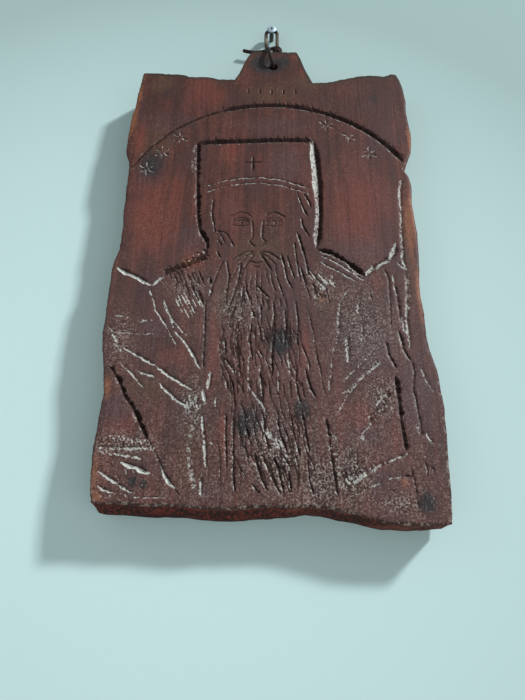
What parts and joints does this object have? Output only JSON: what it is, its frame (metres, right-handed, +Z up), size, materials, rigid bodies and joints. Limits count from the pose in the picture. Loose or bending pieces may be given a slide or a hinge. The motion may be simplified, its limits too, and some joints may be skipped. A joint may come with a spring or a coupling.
{
  "type": "carved wooden icon",
  "caption": "Thick hand-carved wooden plank icon of a bearded elder in a tall hat, with a holed tab, hanging by a knotted leather lace from a cross-head wall screw.",
  "frame": {"origin": "on the axis of the wall screw, in the plane of the wall", "axes": "+Z up, +Y into the wall along the screw, +X to the right of a person who faces the icon"},
  "size_m": [0.2197, 0.0595, 0.4337],
  "materials": {
    "stained_wood": "dark red stain under a rough coat of clear varnish",
    "leather_lace": "dark brown, dull",
    "zinc_steel": "zinc plated"
  },
  "bodies": {
    "screw": {"wall_screw": "zinc_steel"},
    "loop": {"lace_bight": "leather_lace"},
    "legs": {"lace_strand": "leather_lace", "lace_upper_back": "leather_lace", "lace_knot": "leather_lace", "lace_tail": "leather_lace"},
    "board": {"carved_board": "stained_wood"}
  },
  "joints": [
    {"name": "loop_swing", "type": "hinge", "parent": "screw", "child": "loop", "pos_m": [0, -0.0072, 0], "axis": [0, 1, 0], "range_deg": [-12, 12]},
    {"name": "tip_out", "type": "hinge", "parent": "loop", "child": "legs", "pos_m": [0, -0.0072, -0.0035], "axis": [-1, 0, 0], "range_deg": [0, 60]},
    {"name": "board_swing", "type": "hinge", "parent": "legs", "child": "board", "pos_m": [0.0012, -0.0155, -0.0624], "axis": [0, 1, 0], "range_deg": [-8, 8]}
  ]
}
